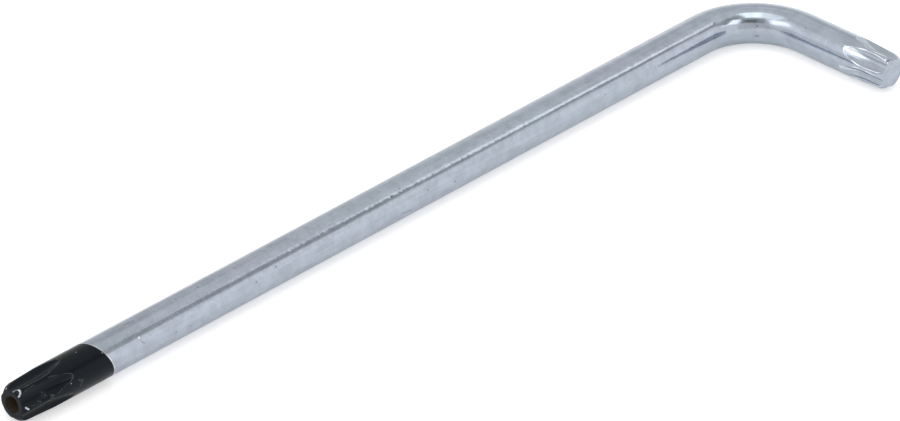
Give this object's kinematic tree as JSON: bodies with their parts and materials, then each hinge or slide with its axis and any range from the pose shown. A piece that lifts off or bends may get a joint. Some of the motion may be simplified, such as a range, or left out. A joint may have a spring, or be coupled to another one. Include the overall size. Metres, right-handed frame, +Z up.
{
  "type": "star key",
  "caption": "L-shaped star key bent from a round chromed bar, with a black, drilled star point on its long arm and a plain star point on its short arm.",
  "frame": {"origin": "on the floor, under the middle of the key's bounding box", "axes": "+X along the long arm towards its drilled point, +Y along the short arm towards its plain point, +Z up off the floor that the key lies on"},
  "size_m": [0.1786, 0.0356, 0.007],
  "materials": {
    "chromed_steel": "bright chrome plate over drawn steel, with fine pits and drawing lines",
    "black_finish": "glossy black dip coat, worn to steel on the edges of the points"
  },
  "bodies": {
    "root": {"long_shank": "chromed_steel", "bend": "chromed_steel", "short_shank": "chromed_steel", "plain_point": "chromed_steel", "drilled_point": "black_finish"}
  },
  "joints": []
}
